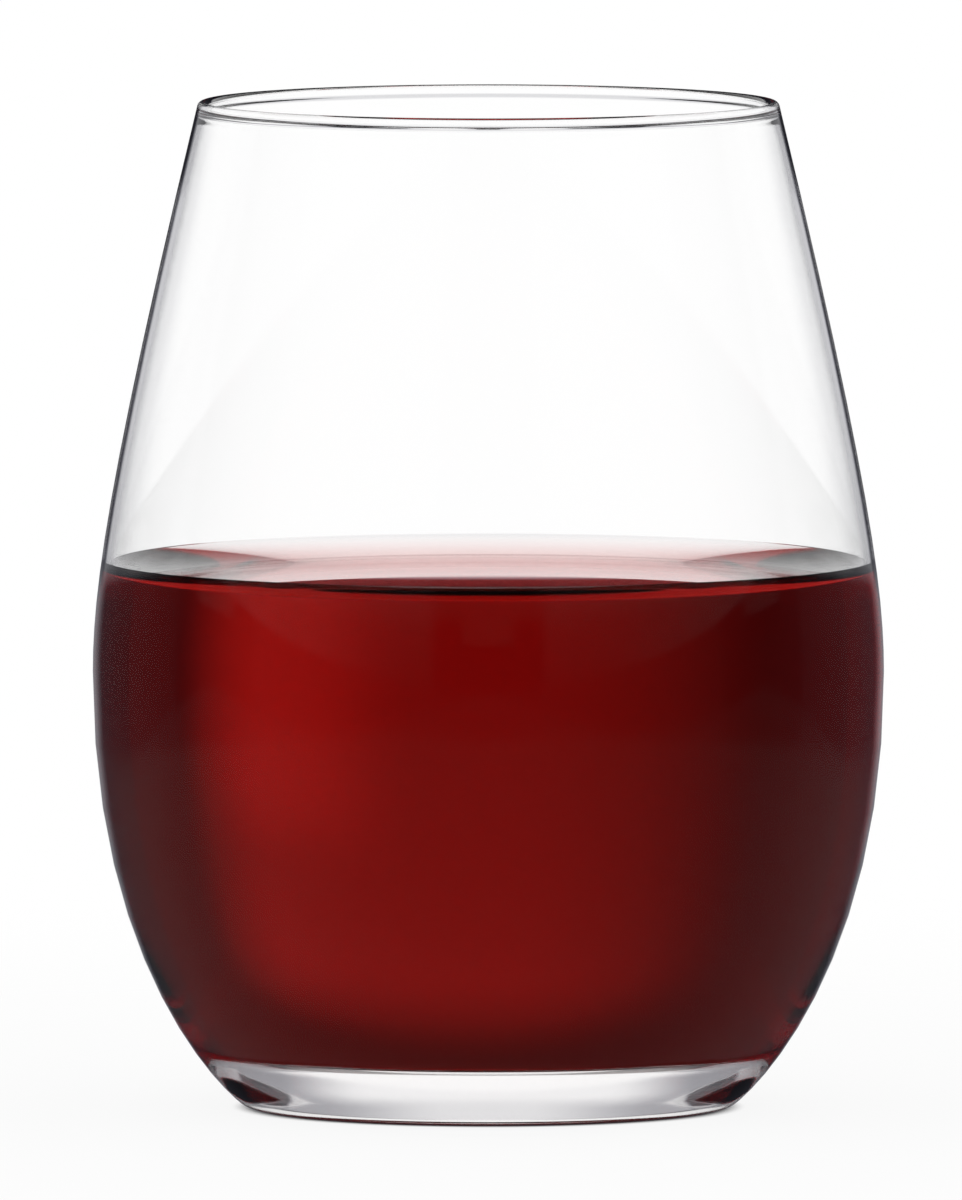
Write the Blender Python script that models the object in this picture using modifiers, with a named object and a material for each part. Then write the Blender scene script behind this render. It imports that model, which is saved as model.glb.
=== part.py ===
"""Stemless double old fashioned tumbler, part filled with red wine.

Two pieces turned about +Z: the blown glass and the wine standing in it.
Metres, +Z up, the foot ring on z = 0. The sizes below are in millimetres.
"""

import math

import bpy
from mathutils import Vector
from mathutils.geometry import interpolate_bezier

MM = 0.001
TURN_STEPS = 72

# Outside of the glass
HEIGHT = 105.0
BELLY_DIAMETER = 82.5
BELLY_HEIGHT = 45.5
RIM_DIAMETER = 60.7
RIM_LEAN = math.radians(13.5)
FOOT_DIAMETER = 48.8
FOOT_EDGE_RADIUS = 2.6
FOOT_EDGE_SLOPE = math.radians(36.6)

# Reach of the side's handles: out from the lip as a share of the belly's overhang, and up from
# the belly, down from it and up from the foot as shares of the height that each curve spans
SHOULDER_HANDLES = (0.862, 0.14)
BOWL_HANDLES = (0.70, 0.04)

# Thickness of the glass: the wall, the lip, the base at its middle, and the heel beside the floor
WALL = 0.85
LIP_BEAD = 1.2
LIP_FILLET = 1.8
BASE = 6.02
HEEL = 1.6

# Hollow: its slightly dished floor, the fillet round the floor, and the bowl's curve above it,
# whose handles are shares of the distance from the fillet to the belly
FLOOR_DISH = 0.33
FLOOR_FILLET = 1.1
HOLLOW_SLOPE = math.radians(51.7)
HOLLOW_HANDLES = (0.09, 0.51)

# Shallow hollow under the foot
UNDERSIDE_DIAMETER = 41.3
UNDERSIDE_RISE = 1.95

# Wine
WINE_LEVEL = 56.4
WINE_CLEARANCE = 0.3


def point(radius, height):
    """A point of a profile, in the XZ plane."""
    return Vector((radius, 0.0, height))


def heading(angle):
    """A unit vector in the XZ plane, turned up from +X by an angle."""
    return point(math.cos(angle), math.sin(angle))


def arc(centre, radius, start, end, count):
    """Points along an arc between two angles from +X."""
    step = (end - start) / (count - 1)
    return [centre + radius * heading(start + step * i) for i in range(count)]


def inset(points, distance):
    """The points moved to the right-hand side of the line that they follow."""
    moved = []
    for i, here in enumerate(points):
        along = points[min(i + 1, len(points) - 1)] - points[max(i - 1, 0)]
        moved.append(here + distance * point(along.z, -along.x).normalized())
    return moved


def below(points, level):
    """The start of a rising line, cut off at a level."""
    kept = [p for p in points if p.z < level]
    low, high = kept[-1], points[len(kept)]
    return kept + [low.lerp(high, (level - low.z) / (high.z - low.z))]


def turned(name, profile, material):
    """An object whose profile, running down its outer side, is turned about Z."""
    mesh = bpy.data.meshes.new(name)
    edges = [(i, i + 1) for i in range(len(profile) - 1)]
    mesh.from_pydata([p * MM for p in profile], edges, [])
    mesh.materials.append(material)
    piece = bpy.data.objects.new(name, mesh)
    turn = piece.modifiers.new("Turn", "SCREW")
    turn.axis = "Z"
    turn.angle = 2 * math.pi
    turn.steps = TURN_STEPS
    turn.render_steps = TURN_STEPS
    turn.use_merge_vertices = True
    turn.merge_threshold = 0.00001
    turn.use_smooth_shade = True
    return piece


def clear_material(name, colour, roughness, ior):
    """A material that light passes through, tinted by its colour."""
    material = bpy.data.materials.new(name)
    material.use_nodes = True
    shader = material.node_tree.nodes["Principled BSDF"]
    shader.inputs["Base Color"].default_value = (*colour, 1.0)
    shader.inputs["Roughness"].default_value = roughness
    shader.inputs["Metallic"].default_value = 0.0
    shader.inputs["IOR"].default_value = ior
    shader.inputs["Transmission Weight"].default_value = 1.0
    return material


for old in list(bpy.data.objects):
    bpy.data.objects.remove(old, do_unlink=True)

# Outer side of the glass: lip to belly, belly to foot, and round the foot's edge
out_of_lip = heading(RIM_LEAN)
down_from_lip = heading(RIM_LEAN - math.pi / 2)
bead_radius = LIP_BEAD / 2
bead_centre = point(RIM_DIAMETER / 2 - bead_radius, HEIGHT - bead_radius)
lip = bead_centre + bead_radius * out_of_lip

belly = point(BELLY_DIAMETER / 2, BELLY_HEIGHT)
shoulder_drop = lip.z - belly.z
lip_handle = SHOULDER_HANDLES[0] * (belly.x - lip.x) / down_from_lip.x
shoulder = interpolate_bezier(
    lip,
    lip + lip_handle * down_from_lip,
    belly + point(0.0, SHOULDER_HANDLES[1] * shoulder_drop),
    belly,
    9,
)

foot_centre = point(FOOT_DIAMETER / 2, FOOT_EDGE_RADIUS)
foot_edge = arc(foot_centre, FOOT_EDGE_RADIUS, FOOT_EDGE_SLOPE - math.pi / 2, -math.pi / 2, 4)
bowl_drop = belly.z - foot_edge[0].z
bowl = interpolate_bezier(
    belly,
    belly - point(0.0, BOWL_HANDLES[0] * bowl_drop),
    foot_edge[0] + BOWL_HANDLES[1] * bowl_drop * heading(FOOT_EDGE_SLOPE),
    foot_edge[0],
    12,
)

# Underside: the flat ring that the glass stands on, then the shallow hollow inside it
underside = interpolate_bezier(
    point(UNDERSIDE_DIAMETER / 2, 0.0),
    point(UNDERSIDE_DIAMETER / 3, UNDERSIDE_RISE),
    point(UNDERSIDE_DIAMETER / 6, UNDERSIDE_RISE),
    point(0.0, UNDERSIDE_RISE),
    5,
)

# Inner side, going up: the floor, its fillet, the bowl, the wall, and the fillet under the bead
floor_edge = below(bowl[::-1], BASE + FLOOR_DISH)[-1] - point(HEEL, 0.0)
floor = interpolate_bezier(
    point(0.0, BASE),
    point(floor_edge.x / 3, BASE),
    point(floor_edge.x * 2 / 3, floor_edge.z),
    floor_edge,
    6,
)
fillet_centre = floor_edge + point(0.0, FLOOR_FILLET)
floor_fillet = arc(fillet_centre, FLOOR_FILLET, -math.pi / 2, HOLLOW_SLOPE - math.pi / 2, 5)

hollow_belly = belly - point(WALL, 0.0)
hollow_reach = (hollow_belly - floor_fillet[-1]).length
hollow = interpolate_bezier(
    floor_fillet[-1],
    floor_fillet[-1] + HOLLOW_HANDLES[0] * hollow_reach * heading(HOLLOW_SLOPE),
    hollow_belly - point(0.0, HOLLOW_HANDLES[1] * hollow_reach),
    hollow_belly,
    11,
)
inside = floor + floor_fillet[1:] + hollow[1:] + inset(shoulder, WALL)[-2:0:-1]

fillet_foot = lip + LIP_FILLET * down_from_lip - WALL * out_of_lip
under_bead = bead_centre - bead_radius * heading(RIM_LEAN + math.pi / 4)
fillet = interpolate_bezier(
    fillet_foot,
    fillet_foot - bead_radius * down_from_lip,
    under_bead + bead_radius * heading(RIM_LEAN - math.pi / 4),
    under_bead,
    5,
)
bead = arc(bead_centre, bead_radius, RIM_LEAN + 1.25 * math.pi, RIM_LEAN, 9)

glass_profile = inside + fillet + bead[1:] + shoulder[1:] + bowl[1:] + foot_edge[1:] + underside

# The wine stands clear of the glass by its clearance, up to its level
wine_side = below(inset(inside, -WINE_CLEARANCE), WINE_LEVEL)
wine_side[0] = point(0.0, BASE + WINE_CLEARANCE)
wine_profile = [point(0.0, WINE_LEVEL)] + wine_side[::-1]

clear_glass = clear_material("clear_glass", (0.95, 0.97, 0.97), 0.02, 1.52)
red_wine = clear_material("red_wine", (0.18, 0.006, 0.008), 0.02, 1.345)

tumbler = bpy.data.collections.new("stemless_tumbler")
bpy.context.scene.collection.children.link(tumbler)
glass = turned("glass_tumbler", glass_profile, clear_glass)
wine = turned("red_wine", wine_profile, red_wine)
wine.parent = glass
tumbler.objects.link(glass)
tumbler.objects.link(wine)
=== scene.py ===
"""Studio picture of a stemless glass tumbler, part filled with red wine.

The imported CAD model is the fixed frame. Its two turned solids are shown as finer
turned pieces of the same outline, so that light bends through them smoothly.
"""

import logging
import math
from abc import ABC, abstractmethod
from dataclasses import dataclass, field
from enum import Enum, auto

import bpy
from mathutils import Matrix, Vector


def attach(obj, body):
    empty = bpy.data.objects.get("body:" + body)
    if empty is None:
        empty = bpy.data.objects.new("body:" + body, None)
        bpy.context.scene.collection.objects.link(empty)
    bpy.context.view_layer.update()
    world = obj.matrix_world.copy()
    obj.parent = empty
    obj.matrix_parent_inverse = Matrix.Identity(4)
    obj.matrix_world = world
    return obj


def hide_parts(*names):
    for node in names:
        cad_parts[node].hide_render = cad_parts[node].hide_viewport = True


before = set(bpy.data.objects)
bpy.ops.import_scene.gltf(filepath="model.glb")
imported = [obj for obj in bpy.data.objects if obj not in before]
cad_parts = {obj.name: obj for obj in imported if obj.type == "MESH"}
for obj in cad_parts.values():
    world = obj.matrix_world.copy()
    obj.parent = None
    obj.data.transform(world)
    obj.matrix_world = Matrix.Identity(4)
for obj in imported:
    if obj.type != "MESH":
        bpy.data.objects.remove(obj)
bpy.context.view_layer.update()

LOG = logging.getLogger("tumbler")
MM = 0.001
QUARTER = math.pi / 2

# A turned mesh: ends that meet are merged, and bends sharper than this stay crisp
MERGE_DISTANCE = 0.000002
SMOOTH_BELOW = math.radians(14.0)

# Light crosses the thick base and the wine many times before it comes out
LIGHT_BOUNCES = 32
MIRROR_BOUNCES = 16

Span = tuple[Vector, Vector, Vector, Vector]
Level = float | bpy.types.Node


def linear_colour(hex_colour: str) -> tuple[float, float, float, float]:
    """Turns an sRGB hex colour into the linear colour that a socket takes.

    Args:
        hex_colour: The colour as "#RRGGBB".

    Returns:
        Red, green, blue and an alpha of 1.
    """
    shares = [int(hex_colour[i : i + 2], 16) / 255 for i in (1, 3, 5)]
    red, green, blue = (
        s / 12.92 if s <= 0.04045 else ((s + 0.055) / 1.055) ** 2.4 for s in shares
    )
    return red, green, blue, 1.0


def add_node(
    tree: bpy.types.NodeTree,
    kind: str,
    sockets: dict[str | int, object] | None = None,
    **settings: object,
) -> bpy.types.Node:
    """Adds a node to a tree, sets its properties, and fills or links its inputs.

    Args:
        tree: The node tree.
        kind: The node's type, such as "ShaderNodeMath".
        sockets: Input names or numbers, each with a value, a socket to link from, or a
            node whose first output is linked.
        **settings: Properties of the node itself.

    Returns:
        The new node.
    """
    node = tree.nodes.new(kind)
    for name, value in settings.items():
        setattr(node, name, value)
    for key, value in (sockets or {}).items():
        if isinstance(value, bpy.types.Node):
            value = value.outputs[0]
        if isinstance(value, bpy.types.NodeSocket):
            tree.links.new(value, node.inputs[key])
        else:
            node.inputs[key].default_value = value
    return node


def point(radius: float, height: float) -> Vector:
    """A point of an outline, in millimetres, in the XZ plane."""
    return Vector((radius, 0.0, height))


def heading(angle: float) -> Vector:
    """A unit vector in the XZ plane, turned up from +X by an angle."""
    return point(math.cos(angle), math.sin(angle))


@dataclass
class Knot:
    """One drawn point of an outline, with the handles on its two sides."""

    at: Vector
    before: Vector
    after: Vector


@dataclass
class Outline:
    """A half section drawn as one Bezier line, in millimetres."""

    knots: list[Knot] = field(default_factory=list)

    def start(self, at: Vector) -> "Outline":
        """Puts down the first point, and returns this outline."""
        self.knots.append(Knot(at, at.copy(), at.copy()))
        return self

    def curve_to(self, after: Vector, before: Vector, at: Vector) -> "Outline":
        """Draws one cubic span from the last point.

        Args:
            after: The handle on the far side of the last point.
            before: The handle on the near side of the new point.
            at: The new point.

        Returns:
            This outline.
        """
        self.knots[-1].after = after
        self.knots.append(Knot(at, before, at.copy()))
        return self

    def line_to(self, at: Vector) -> "Outline":
        """Draws a straight span from the last point, and returns this outline."""
        last = self.knots[-1].at
        return self.curve_to(last.lerp(at, 1 / 3), last.lerp(at, 2 / 3), at)

    def arc_to(self, centre: Vector, radius: float, start: float, end: float) -> "Outline":
        """Draws an arc from the last point, in spans of up to a quarter turn.

        Args:
            centre: The arc's centre.
            radius: Its radius.
            start: The angle of the last point from +X.
            end: The angle of the arc's far end.

        Returns:
            This outline.
        """
        rounding = 1e-6
        count = math.ceil(abs(end - start) / QUARTER - rounding)
        step = (end - start) / count
        reach = radius * 4 / 3 * math.tan(step / 4)
        for i in range(count):
            here, there = start + step * i, start + step * (i + 1)
            self.curve_to(
                centre + radius * heading(here) + reach * heading(here + QUARTER),
                centre + radius * heading(there) - reach * heading(there + QUARTER),
                centre + radius * heading(there),
            )
        return self


def cut_at(span: Span, height: float) -> Span:
    """Cuts a cubic span where it crosses a height, and keeps its start.

    Args:
        span: The span's first point, its two handles and its last point.
        height: A height between those of its ends.

    Returns:
        The kept span.
    """
    halvings = 40
    rising = span[3].z > span[0].z
    low, high = 0.0, 1.0
    for _ in range(halvings):
        share = (low + high) / 2
        first = [a.lerp(b, share) for a, b in zip(span, span[1:])]
        second = [a.lerp(b, share) for a, b in zip(first, first[1:])]
        last = second[0].lerp(second[1], share)
        low, high = (share, high) if (last.z < height) == rising else (low, share)
    return span[0], first[0], second[0], last


def turned(name: str, outline: Outline, span_edges: int, facets: int) -> bpy.types.Object:
    """Draws an outline as a curve, makes it a mesh and spins it about Z.

    Args:
        name: The piece's name.
        outline: The half section, from axis to axis.
        span_edges: Edges along each span of the outline.
        facets: Facets round the axis.

    Returns:
        The piece, closed, shaded smooth, and at the origin.
    """
    bpy.ops.object.select_all(action="DESELECT")
    bpy.ops.curve.primitive_bezier_curve_add(location=(0, 0, 0))
    piece = bpy.context.object
    spline = piece.data.splines[0]
    spline.bezier_points.add(len(outline.knots) - len(spline.bezier_points))
    for drawn, knot in zip(spline.bezier_points, outline.knots):
        drawn.handle_left_type = drawn.handle_right_type = "FREE"
        drawn.co = knot.at * MM
        drawn.handle_left = knot.before * MM
        drawn.handle_right = knot.after * MM
    piece.data.resolution_u = span_edges
    bpy.ops.object.convert(target="MESH")
    piece = bpy.context.object
    piece.name = piece.data.name = name
    bpy.ops.object.mode_set(mode="EDIT")
    bpy.ops.mesh.select_all(action="SELECT")
    bpy.ops.mesh.spin(steps=facets, angle=2 * math.pi, center=(0, 0, 0), axis=(0, 0, 1))
    bpy.ops.mesh.select_all(action="SELECT")
    bpy.ops.mesh.remove_doubles(threshold=MERGE_DISTANCE)
    bpy.ops.mesh.normals_make_consistent(inside=False)
    bpy.ops.object.mode_set(mode="OBJECT")
    bpy.ops.object.shade_smooth_by_angle(angle=SMOOTH_BELOW)
    return piece


class Finish(ABC):
    """A named material, made once from its nodes."""

    @abstractmethod
    def nodes(self, tree: bpy.types.NodeTree) -> None:
        """Adds the finish's nodes.

        Args:
            tree: The material's empty tree.
        """

    def material(self, name: str) -> bpy.types.Material:
        """Makes the finish.

        Args:
            name: The material's name.

        Returns:
            The material.
        """
        made = bpy.data.materials.new(name)
        made.use_nodes = True
        made.node_tree.nodes.clear()
        self.nodes(made.node_tree)
        return made


@dataclass(frozen=True)
class Scuffs:
    """The fine scratches of a ring that a piece stands on. Heights in metres."""

    full_below: float
    none_above: float
    roughness: float


@dataclass(frozen=True)
class ClearFinish(Finish):
    """A clear substance with slight waves in its surface and a tint in its depth.

    Waves are in metres. The gleam tints what a surface mirrors head on, and a dark one
    keeps light from being mirrored where the wine and the glass overlap.
    """

    ior: float
    gleam: str
    depth_colour: str
    depth_per_metre: float
    wave_length: float
    wave_height: float
    wave_detail: float = 1.0
    wave_roughness: float = 0.3
    scuffs: Scuffs | None = None

    def nodes(self, tree: bpy.types.NodeTree) -> None:
        """Adds the surface, its waves and scuffs, and the tint in its depth.

        Args:
            tree: The material's empty tree.
        """
        place = add_node(tree, "ShaderNodeTexCoord").outputs["Object"]
        waves = add_node(
            tree,
            "ShaderNodeTexNoise",
            {
                "Vector": place,
                "Scale": 1 / self.wave_length,
                "Detail": self.wave_detail,
                "Roughness": self.wave_roughness,
            },
        )
        bump = add_node(
            tree,
            "ShaderNodeBump",
            {"Height": waves, "Strength": 1.0, "Distance": self.wave_height},
        )
        body = add_node(
            tree,
            "ShaderNodeBsdfPrincipled",
            {
                "Base Color": linear_colour("#FFFFFF"),
                "Roughness": self.roughness(tree, place),
                "IOR": self.ior,
                "Specular Tint": linear_colour(self.gleam),
                "Transmission Weight": 1.0,
                "Normal": bump,
            },
        )
        depth = add_node(
            tree,
            "ShaderNodeVolumeAbsorption",
            {"Color": linear_colour(self.depth_colour), "Density": self.depth_per_metre},
        )
        add_node(tree, "ShaderNodeOutputMaterial", {"Surface": body, "Volume": depth})

    def roughness(self, tree: bpy.types.NodeTree, place: bpy.types.NodeSocket) -> Level:
        """Adds the scuffs, where the substance has any.

        Args:
            tree: The material's tree.
            place: The place on the piece.

        Returns:
            The roughness all over, or the node that gives it.
        """
        if self.scuffs is None:
            return 0.0
        height = add_node(tree, "ShaderNodeSeparateXYZ", {0: place}).outputs["Z"]
        return add_node(
            tree,
            "ShaderNodeMapRange",
            {
                "Value": height,
                "From Min": self.scuffs.full_below,
                "From Max": self.scuffs.none_above,
                "To Min": self.scuffs.roughness,
                "To Max": 0.0,
            },
        )


# Polished soda-lime glass: colourless and bright, scuffed only on the ring that it stands on
CLEAR_GLASS = ClearFinish(
    ior=1.52,
    gleam="#404040",
    depth_colour="#F2F7F5",
    depth_per_metre=2.0,
    wave_length=0.030,
    wave_height=0.000004,
    scuffs=Scuffs(full_below=0.000075, none_above=0.00025, roughness=0.12),
)

# Young red wine: nearly black in its depth, ruby where light comes through
RED_WINE = ClearFinish(
    ior=1.345,
    gleam="#404040",
    depth_colour="#EDA6A0",
    depth_per_metre=120.0,
    wave_length=0.025,
    wave_height=0.000002,
)


@dataclass
class Tumbler:
    """The blown glass: beaded lip, leaning wall and thick base. Sizes in millimetres.

    Handles are shares of the distance that each curve spans. The fields from bead on are
    worked out from the sizes.
    """

    height: float = 105.0
    belly_diameter: float = 82.5
    belly_height: float = 45.5
    rim_diameter: float = 60.7
    rim_lean: float = math.radians(13.5)
    foot_diameter: float = 48.8
    foot_edge_radius: float = 2.6
    foot_edge_slope: float = math.radians(36.6)
    shoulder_handles: tuple[float, float] = (0.862, 0.14)
    bowl_handles: tuple[float, float] = (0.70, 0.04)
    wall: float = 0.85
    lip_bead: float = 1.2
    lip_fillet: float = 1.8
    base: float = 6.02
    heel: float = 1.6
    floor_dish: float = 0.33
    floor_fillet: float = 1.1
    hollow_slope: float = math.radians(51.7)
    hollow_handles: tuple[float, float] = (0.09, 0.51)
    underside_diameter: float = 41.3
    underside_rise: float = 1.95
    span_edges: int = 12
    facets: int = 240
    bead: float = field(init=False)
    out: Vector = field(init=False)
    down: Vector = field(init=False)
    bead_centre: Vector = field(init=False)
    lip: Vector = field(init=False)
    belly: Vector = field(init=False)
    lip_handle: float = field(init=False)
    belly_handle: float = field(init=False)
    edge_centre: Vector = field(init=False)
    bowl: Span = field(init=False)

    def __post_init__(self) -> None:
        """Works out the two spans of the outer side that the rest is drawn from."""
        self.bead = self.lip_bead / 2
        self.out, self.down = heading(self.rim_lean), heading(self.rim_lean - QUARTER)
        self.bead_centre = point(self.rim_diameter / 2 - self.bead, self.height - self.bead)
        self.lip = self.bead_centre + self.bead * self.out
        self.belly = point(self.belly_diameter / 2, self.belly_height)
        overhang = (self.belly.x - self.lip.x) / self.down.x
        self.lip_handle = self.shoulder_handles[0] * overhang
        self.belly_handle = self.shoulder_handles[1] * (self.lip.z - self.belly.z)
        self.edge_centre = point(self.foot_diameter / 2, self.foot_edge_radius)
        slope = self.foot_edge_slope
        edge = self.edge_centre + self.foot_edge_radius * heading(slope - QUARTER)
        fall = self.belly.z - edge.z
        self.bowl = (
            self.belly,
            self.belly - point(0.0, self.bowl_handles[0] * fall),
            edge + self.bowl_handles[1] * fall * heading(slope),
            edge,
        )

    def hollow(self, grow: float) -> Outline:
        """Draws the inner side from the floor's middle up to the fillet under the lip.

        Args:
            grow: How far the line is moved out into the glass.

        Returns:
            The outline, going up.
        """
        wall = self.wall - grow
        heel = cut_at(self.bowl, self.base + self.floor_dish)[3]
        middle = point(0.0, self.base - grow)
        edge = heel - point(self.heel, grow)
        fillet = self.floor_fillet + grow
        line = Outline().start(middle)
        line.curve_to(point(edge.x / 3, middle.z), point(edge.x * 2 / 3, edge.z), edge)
        centre = edge + point(0.0, fillet)
        line.arc_to(centre, fillet, -QUARTER, self.hollow_slope - QUARTER)
        corner = line.knots[-1].at
        inner = self.belly - point(wall, 0.0)
        reach = (inner - corner).length
        line.curve_to(
            corner + self.hollow_handles[0] * reach * heading(self.hollow_slope),
            inner - point(0.0, self.hollow_handles[1] * reach),
            inner,
        )
        top = self.lip + self.lip_fillet * self.down - wall * self.out
        line.curve_to(
            inner + point(0.0, self.belly_handle),
            top + (self.lip_handle - self.lip_fillet) * self.down,
            top,
        )
        return line

    def outline(self) -> Outline:
        """Draws the half section, up the inside, over the lip and down the outside.

        Returns:
            The outline, from axis to axis.
        """
        line = self.hollow(0.0)
        lean = self.rim_lean
        under = self.bead_centre - self.bead * heading(lean + QUARTER / 2)
        line.curve_to(
            line.knots[-1].at - self.bead * self.down,
            under + self.bead * heading(lean - QUARTER / 2),
            under,
        )
        line.arc_to(self.bead_centre, self.bead, lean + 2.5 * QUARTER, lean)
        line.curve_to(
            self.lip + self.lip_handle * self.down,
            self.belly + point(0.0, self.belly_handle),
            self.belly,
        )
        line.curve_to(*self.bowl[1:])
        slope = self.foot_edge_slope - QUARTER
        line.arc_to(self.edge_centre, self.foot_edge_radius, slope, -QUARTER)
        line.line_to(point(self.underside_diameter / 2, 0.0))
        line.curve_to(
            point(self.underside_diameter / 3, self.underside_rise),
            point(self.underside_diameter / 6, self.underside_rise),
            point(0.0, self.underside_rise),
        )
        return line

    def build(self) -> bpy.types.Object:
        """Turns the glass, and returns the piece."""
        return turned("tumbler_glass", self.outline(), self.span_edges, self.facets)

    def dress(self, piece: bpy.types.Object) -> None:
        """Gives the glass its finish and sets it on the frame.

        Args:
            piece: The piece that build made.
        """
        piece.data.materials.append(CLEAR_GLASS.material("clear_glass"))
        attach(piece, "root")
        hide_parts("glass_tumbler")


@dataclass
class Wine:
    """The wine, which wets the glass and climbs its wall. Sizes in millimetres.

    It reaches into the wall by its wetting, so that no film of air shows between them.
    """

    glass: Tumbler
    level: float = 54.6
    dish: float = 0.3
    climb: float = 2.5
    climb_reach: float = 8.0
    climb_slope: float = math.radians(55.0)
    climb_handles: tuple[float, float] = (0.6, 0.5)
    wetting: float = 0.06
    span_edges: int = 20
    facets: int = 240

    def outline(self) -> Outline:
        """Draws the half section, from the floor up the wall and in over the surface.

        Returns:
            The outline, from axis to axis.
        """
        line = self.glass.hollow(self.wetting)
        above, below = line.knots.pop(), line.knots[-1]
        side: Span = (below.at, below.after, above.before, above.at)
        wall = cut_at(side, self.level + self.climb)
        line.curve_to(*wall[1:])
        brink = wall[3]
        edge = point(brink.x - self.climb_reach, self.level + self.dish)
        slope = math.atan2(2 * self.dish, edge.x)
        line.curve_to(
            brink - self.climb_handles[0] * self.climb * heading(self.climb_slope),
            edge + self.climb_handles[1] * self.climb_reach * heading(slope),
            edge,
        )
        line.curve_to(
            point(edge.x * 2 / 3, self.level + self.dish / 3),
            point(edge.x / 3, self.level),
            point(0.0, self.level),
        )
        return line

    def build(self) -> bpy.types.Object:
        """Turns the wine, and returns the piece."""
        return turned("standing_wine", self.outline(), self.span_edges, self.facets)

    def dress(self, piece: bpy.types.Object) -> None:
        """Gives the wine its finish and sets it on the frame.

        Args:
            piece: The piece that build made.
        """
        piece.data.materials.append(RED_WINE.material("red_wine"))
        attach(piece, "root")
        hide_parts("red_wine")


@dataclass(frozen=True)
class PaleTop(Finish):
    """A table top that fades out into the backdrop. Mirror images leave it out.

    Lengths are in metres from the top's middle. Inside the contact radius the top shows
    all of the shadow, and past the open radius only a share of it.
    """

    colour: str
    grain_size: float
    grain_shade: float
    shadow_share: float
    contact_radius: float
    open_radius: float
    solid_radius: float
    faded_radius: float

    def nodes(self, tree: bpy.types.NodeTree) -> None:
        """Adds the paint, the painted white glow that leaves only a share of its shadow past the
        foot, and the way that it fades from the middle.

        Args:
            tree: The material's empty tree.
        """
        place = add_node(tree, "ShaderNodeTexCoord").outputs["Object"]
        away = add_node(tree, "ShaderNodeVectorMath", {0: place}, operation="LENGTH")
        away = away.outputs["Value"]
        path = add_node(tree, "ShaderNodeLightPath").outputs
        paint = self.paint(tree, place)
        seen = add_node(
            tree,
            "ShaderNodeMath",
            {0: path["Is Camera Ray"], 1: path["Is Transmission Ray"]},
            operation="MAXIMUM",
        )
        # Painted light: past the open radius the top glows white for camera and transmission
        # rays, which hides most of its shadow; inside the contact radius all of the shadow shows
        open_floor = add_node(
            tree,
            "ShaderNodeMapRange",
            {
                "Value": away,
                "From Min": self.contact_radius,
                "From Max": self.open_radius,
                "To Max": 1.0 - self.shadow_share,
            },
            interpolation_type="SMOOTHSTEP",
        )
        lifted = add_node(tree, "ShaderNodeMath", {0: seen, 1: open_floor}, operation="MULTIPLY")
        painted_glow = add_node(
            tree, "ShaderNodeEmission", {"Color": linear_colour(self.colour), "Strength": 1.0}
        )
        top = add_node(tree, "ShaderNodeMixShader", {"Fac": lifted, 1: paint, 2: painted_glow})
        fade = add_node(
            tree,
            "ShaderNodeMapRange",
            {"Value": away, "From Min": self.solid_radius, "From Max": self.faded_radius},
            interpolation_type="SMOOTHSTEP",
        )
        gone = add_node(
            tree,
            "ShaderNodeMath",
            {0: path["Is Reflection Ray"], 1: path["Is Glossy Ray"], 2: fade},
            operation="MULTIPLY_ADD",
            use_clamp=True,
        )
        clear = add_node(tree, "ShaderNodeBsdfTransparent")
        mixed = add_node(tree, "ShaderNodeMixShader", {"Fac": gone, 1: top, 2: clear})
        add_node(tree, "ShaderNodeOutputMaterial", {"Surface": mixed})

    def paint(self, tree: bpy.types.NodeTree, place: bpy.types.NodeSocket) -> bpy.types.Node:
        """Adds the matt paint with its faint grain.

        Args:
            tree: The material's tree.
            place: The place on the table top.

        Returns:
            The shader.
        """
        grain = add_node(
            tree, "ShaderNodeTexNoise", {"Vector": place, "Scale": 1 / self.grain_size}
        )
        shade = add_node(
            tree,
            "ShaderNodeMapRange",
            {"Value": grain, "To Min": 1.0 - self.grain_shade, "To Max": 1.0},
        )
        tinted = add_node(
            tree,
            "ShaderNodeMix",
            {"Factor": 1.0, 6: linear_colour(self.colour), 7: shade},
            data_type="RGBA",
            blend_type="MULTIPLY",
        )
        return add_node(tree, "ShaderNodeBsdfDiffuse", {"Color": tinted.outputs[2]})


# Matt white lacquer: an even white with no gloss. Its painted white glow, seen by the camera and
# through the glass, hides its shadow everywhere but at the foot
PALE_LACQUER = PaleTop(
    colour="#FDFDFD",
    grain_size=0.0025,
    grain_shade=0.015,
    shadow_share=0.08,
    contact_radius=0.0242,
    open_radius=0.0270,
    solid_radius=0.10,
    faded_radius=0.294,
)


@dataclass
class Table:
    """The round table top that the glass stands on. Sizes in metres."""

    radius: float = 0.30
    sides: int = 96
    drop: float = 0.00005

    def build(self) -> bpy.types.Object:
        """Lays the table top just under the foot.

        Returns:
            The table top.
        """
        bpy.ops.object.select_all(action="DESELECT")
        bpy.ops.mesh.primitive_circle_add(
            vertices=self.sides,
            radius=self.radius,
            fill_type="NGON",
            location=(0, 0, -self.drop),
        )
        top = bpy.context.object
        top.name = "table_top"
        return top

    def dress(self, top: bpy.types.Object) -> None:
        """Paints the table top and sets it on the stage.

        Args:
            top: The table top that build made.
        """
        top.data.materials.append(PALE_LACQUER.material("pale_table"))


class Along(Enum):
    """What a step in the studio's light runs along: degrees of the sky, or a count."""

    # Sideways from the middle of the nearest quarter of the horizon, to the right or either way
    SIDE = auto()
    OFF = auto()
    # Either way from the middle of the nearer half of the horizon
    HALF_OFF = auto()
    # Up from the horizon, and the same with a slant that rises or falls with OFF and HALF_OFF
    HEIGHT = auto()
    RISING = auto()
    FALLING = auto()
    # How many surfaces the light has crossed, and how often it was turned back
    CROSSED = auto()
    TURNED = auto()
    # 1 for light that has come through a surface, and for light that a surface mirrors
    THROUGH = auto()
    MIRRORED = auto()


@dataclass(frozen=True)
class Step:
    """A soft step in brightness."""

    along: Along
    start: float
    end: float
    before: float = 0.0
    after: float = 1.0


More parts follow.
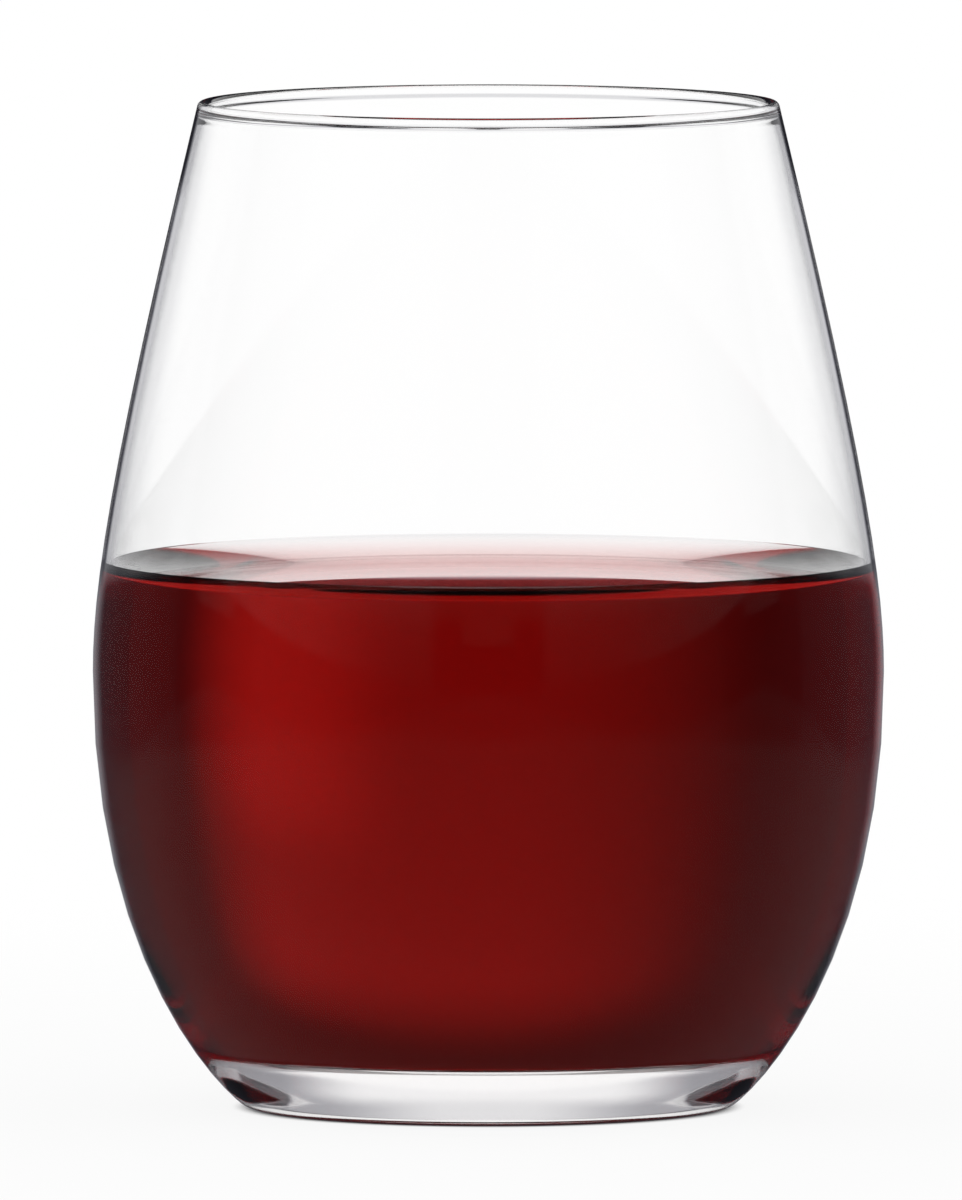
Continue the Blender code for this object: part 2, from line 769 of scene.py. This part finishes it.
@dataclass
class Studio:
    """White light all round, with soft dark cards that only the glass and the wine show.

    The cards repeat in each quarter of the horizon. They differ for light that goes straight
    through the empty glass, straight through the wine, that turns back once inside, that turns
    back more often, and that is mirrored by the outside. Where a step leads to another card,
    that level is left at its default.
    """

    # Which cards a ray of light meets
    turned_once: Step = Step(Along.TURNED, 0.4, 0.6)
    turned_again: Step = Step(Along.TURNED, 1.4, 1.6)
    through_wall: Step = Step(Along.CROSSED, 2.4, 2.6)
    through_wine: Step = Step(Along.CROSSED, 4.4, 4.6)
    through_more: Step = Step(Along.CROSSED, 5.4, 5.6)
    through_any: Step = Step(Along.THROUGH, 0.4, 0.6, before=1.0)
    mirrored: Step = Step(Along.MIRRORED, 0.4, 0.6)
    ground: Step = Step(Along.HEIGHT, -13.0, -9.0, before=1.0)

    # Straight through the wine: a soft window, brighter low on one side, in a dim card
    window_left: Step = Step(Along.SIDE, -27.0, 0.0)
    window_right: Step = Step(Along.SIDE, 18.0, 32.0, after=0.0)
    window_top: Step = Step(Along.HEIGHT, 10.0, 18.5, after=0.0)
    lamp_left: Step = Step(Along.SIDE, 5.0, 15.0, before=0.50)
    lamp_top: Step = Step(Along.HEIGHT, -1.0, 5.0, 0.83, 0.50)
    wine_card: Step = Step(Along.SIDE, -20.0, 20.0, 0.14, 0.18)

    # Straight through the empty glass: the sky that the lip bends into view
    over_glass: Step = Step(Along.HEIGHT, 2.0, 14.0, 1.0, 0.77)
    over_sides: Step = Step(Along.OFF, 2.4, 4.6)
    over_top: Step = Step(Along.HEIGHT, 11.0, 16.0, after=0.0)

    # Turned back once: at an edge, in the wine's surface, and off the far wall
    edge_near: Step = Step(Along.OFF, 14.0, 18.0, 0.02, 0.65)
    edge_far: Step = Step(Along.OFF, 22.0, 32.0, after=0.95)
    back_wall: Step = Step(Along.RISING, -4.7, -3.3, 0.50, 0.08)
    wet_wall: Step = Step(Along.HEIGHT, -1.0, 1.0, after=0.08)
    surface_foot: Step = Step(Along.HEIGHT, 1.8, 2.6)
    surface_card: Step = Step(Along.HEIGHT, 4.35, 5.05, 0.01, 1.0)
    surface_sides: Step = Step(Along.OFF, 6.0, 9.0, after=0.08)
    surface_top: Step = Step(Along.HEIGHT, 7.0, 9.0)

    # Turned back more often: the base's bands, its two dark corners, and the ceiling
    base_strip: Step = Step(Along.OFF, 4.0, 8.0, 0.60, 0.03)
    base_floor: Step = Step(Along.OFF, 4.0, 22.0, 0.79, 0.42)
    base_low: Step = Step(Along.OFF, 15.0, 30.0, 0.92, 0.36)
    base_high: Step = Step(Along.OFF, 24.0, 46.0, 1.0, 0.60)
    floor_from: Step = Step(Along.HEIGHT, -1.2, -0.4)
    low_from: Step = Step(Along.HEIGHT, 2.6, 4.4)
    high_from: Step = Step(Along.HEIGHT, 5.2, 5.8)
    corner_near: Step = Step(Along.OFF, 26.8, 28.4)
    corner_far: Step = Step(Along.OFF, 39.0, 41.0)
    corner_foot: Step = Step(Along.HEIGHT, 6.2, 7.0)
    corner_top: Step = Step(Along.HEIGHT, 19.0, 24.0, before=0.01)
    ceiling: Step = Step(Along.HEIGHT, 24.0, 34.0, after=0.02)

    # Mirrored by the outside: dim below a slant, pale above it, dark at the top
    beside_floor: Step = Step(Along.HEIGHT, -12.0, -5.0, before=0.03)
    beside_low: Step = Step(Along.HALF_OFF, 12.0, 26.0, 0.28, 0.04)
    beside_near: Step = Step(Along.HALF_OFF, 14.0, 20.0, 0.03, 0.50)
    beside_far: Step = Step(Along.HALF_OFF, 36.0, 50.0, after=0.95)
    beside_line: Step = Step(Along.FALLING, -4.6, -3.7)
    beside_top: Step = Step(Along.FALLING, -1.0, 7.0)
    top_card: Step = Step(Along.HALF_OFF, 14.0, 19.0, 0.02, 1.0)

    # How much the slants rise or fall for each degree, and the power that keeps greys violet
    rise: float = 0.16
    fall: float = -0.135
    violet: float = 0.93

    tree: bpy.types.NodeTree = field(init=False)
    ways: dict[Along, bpy.types.NodeSocket] = field(init=False)

    def build(self) -> bpy.types.World:
        """Makes the world, and sorts light by its path to the cards that it meets.

        Returns:
            The world.
        """
        world = bpy.data.worlds.new("bright_field")
        bpy.context.scene.world = world
        world.use_nodes = True
        self.tree = world.node_tree
        self.tree.nodes.clear()
        self.measure()
        turning = self.card(self.turned_again, self.once(), self.often())
        bare = self.card(self.turned_once, self.empty(), turning)
        bare = self.card(self.ground, after=bare)
        straight = self.card(self.through_wine, bare, self.wine())
        inside = self.card(self.turned_once, straight, bare)
        level = self.card(self.through_any, after=inside)
        level = self.card(self.mirrored, level, self.outside())
        blue = add_node(
            self.tree, "ShaderNodeMath", {0: level, 1: self.violet}, operation="POWER"
        )
        colour = add_node(self.tree, "ShaderNodeCombineColor", {0: level, 1: level, 2: blue})
        light = add_node(self.tree, "ShaderNodeBackground", {"Color": colour, "Strength": 1.0})
        add_node(self.tree, "ShaderNodeOutputWorld", {"Surface": light})
        return world

    def measure(self) -> None:
        """Adds the angles and counts that the steps run along."""
        tree, sums = self.tree, "ShaderNodeMath"
        place = add_node(tree, "ShaderNodeTexCoord").outputs["Generated"]
        way = add_node(tree, "ShaderNodeSeparateXYZ", {0: place}).outputs
        path = add_node(tree, "ShaderNodeLightPath").outputs
        turn = add_node(tree, sums, {0: way["X"], 1: way["Y"]}, operation="ARCTAN2")
        turn = add_node(tree, sums, {0: turn}, operation="DEGREES")
        eighth, quarter = 45.0, 90.0
        side = add_node(tree, sums, {0: turn, 1: eighth, 2: -eighth}, operation="WRAP")
        off = add_node(tree, sums, {0: side}, operation="ABSOLUTE")
        half = add_node(tree, sums, {0: turn, 1: quarter, 2: -quarter}, operation="WRAP")
        half_off = add_node(tree, sums, {0: half}, operation="ABSOLUTE")
        height = add_node(tree, sums, {0: way["Z"]}, operation="ARCSINE")
        height = add_node(tree, sums, {0: height}, operation="DEGREES")
        rising = {0: off, 1: self.rise, 2: height}
        falling = {0: half_off, 1: self.fall, 2: height}
        mirrored = {0: path["Is Reflection Ray"], 1: path["Is Glossy Ray"]}
        self.ways = {
            Along.SIDE: side.outputs[0],
            Along.OFF: off.outputs[0],
            Along.HALF_OFF: half_off.outputs[0],
            Along.HEIGHT: height.outputs[0],
            Along.RISING: add_node(tree, sums, rising, operation="MULTIPLY_ADD").outputs[0],
            Along.FALLING: add_node(tree, sums, falling, operation="MULTIPLY_ADD").outputs[0],
            Along.CROSSED: path["Transmission Depth"],
            Along.TURNED: path["Glossy Depth"],
            Along.THROUGH: path["Is Transmission Ray"],
            Along.MIRRORED: add_node(tree, sums, mirrored, operation="MULTIPLY").outputs[0],
        }

    def card(
        self, step: Step, before: Level | None = None, after: Level | None = None
    ) -> bpy.types.Node:
        """Sets up one card's edge.

        Args:
            step: Where the edge lies, and the levels on its two sides.
            before: Another card to show in place of the step's first level.
            after: Another card to show in place of its second level.

        Returns:
            The node that gives the level.
        """
        return add_node(
            self.tree,
            "ShaderNodeMapRange",
            {
                "Value": self.ways[step.along],
                "From Min": step.start,
                "From Max": step.end,
                "To Min": step.before if before is None else before,
                "To Max": step.after if after is None else after,
            },
            interpolation_type="SMOOTHSTEP",
        )

    def wine(self) -> bpy.types.Node:
        """Sets up what shows straight through the wine.

        Returns:
            The node that gives the level.
        """
        lit = self.card(self.lamp_left, after=self.card(self.lamp_top))
        window = self.card(self.window_left, after=lit)
        window = self.card(self.window_right, before=window)
        window = self.card(self.window_top, before=window)
        dim = self.card(self.wine_card)
        return add_node(self.tree, "ShaderNodeMath", {0: window, 1: dim}, operation="ADD")

    def empty(self) -> bpy.types.Node:
        """Sets up what shows straight through the empty glass.

        Returns:
            The node that gives the level.
        """
        sky = self.card(self.over_glass)
        return self.card(self.over_sides, sky, self.card(self.over_top, before=sky))

    def once(self) -> bpy.types.Node:
        """Sets up what shows in light that turns back once.

        Returns:
            The node that gives the level.
        """
        edge = self.card(self.edge_far, before=self.card(self.edge_near))
        low = self.card(self.back_wall)
        surface = self.card(self.surface_sides, before=self.card(self.surface_card))
        high = self.card(self.surface_top, before=surface)
        inside = self.card(self.surface_foot, low, high)
        wet = self.card(self.wet_wall, before=low)
        inside = self.card(self.through_more, inside, wet)
        return self.card(self.through_wall, edge, inside)

    def often(self) -> bpy.types.Node:
        """Sets up what shows in light that turns back more often.

        Returns:
            The node that gives the level.
        """
        band = self.card(self.low_from, self.card(self.base_floor), self.card(self.base_low))
        band = self.card(self.high_from, band, self.card(self.base_high))
        band = self.card(self.floor_from, self.card(self.base_strip), band)
        corner = self.card(self.corner_top, after=band)
        corner = self.card(self.corner_foot, band, corner)
        corner = self.card(self.corner_far, corner, band)
        band = self.card(self.corner_near, band, corner)
        return self.card(self.ceiling, before=band)

    def outside(self) -> bpy.types.Node:
        """Sets up what the outside mirrors.

        Returns:
            The node that gives the level.
        """
        low = self.card(self.beside_floor, after=self.card(self.beside_low))
        high = self.card(self.beside_far, before=self.card(self.beside_near))
        room = self.card(self.beside_line, low, high)
        return self.card(self.beside_top, room, self.card(self.top_card))


@dataclass
class Camera:
    """A long lens a few metres off, a little above the rim. Sizes in metres."""

    distance: float = 4.4
    elevation: float = math.radians(4.1)
    aim: tuple[float, float, float] = (-0.00077, 0.0, 0.05292)
    frame_height: float = 0.1251
    near: float = 0.1
    far: float = 20.0

    def build(self) -> bpy.types.Object:
        """Sets up the camera.

        Returns:
            The camera.
        """
        lens = bpy.data.cameras.new("long_lens")
        lens.lens = lens.sensor_width * self.distance / self.frame_height
        lens.clip_start, lens.clip_end = self.near, self.far
        camera = bpy.data.objects.new("camera", lens)
        bpy.context.scene.collection.objects.link(camera)
        back = Vector((0.0, -math.cos(self.elevation), math.sin(self.elevation)))
        camera.location = Vector(self.aim) + self.distance * back
        camera.rotation_euler = (-back).to_track_quat("-Z", "Y").to_euler()
        bpy.context.scene.camera = camera
        return camera


def main() -> None:
    """Builds the glass, the wine, the table and the studio, and logs each piece's face count."""
    logging.basicConfig(level=logging.INFO)
    glass = Tumbler()
    for part in (glass, Wine(glass), Table()):
        piece = part.build()
        part.dress(piece)
        LOG.info("%s: %d faces", piece.name, len(piece.data.polygons))
    Studio().build()
    Camera().build()
    scene = bpy.context.scene
    scene.view_settings.view_transform = "Standard"
    scene.cycles.max_bounces = LIGHT_BOUNCES
    scene.cycles.transmission_bounces = LIGHT_BOUNCES
    scene.cycles.glossy_bounces = MIRROR_BOUNCES
    # The shadow under the foot stays dark, as the contact line in the photo is
    scene.cycles.caustics_refractive = False


if __name__ == "__main__":
    main()
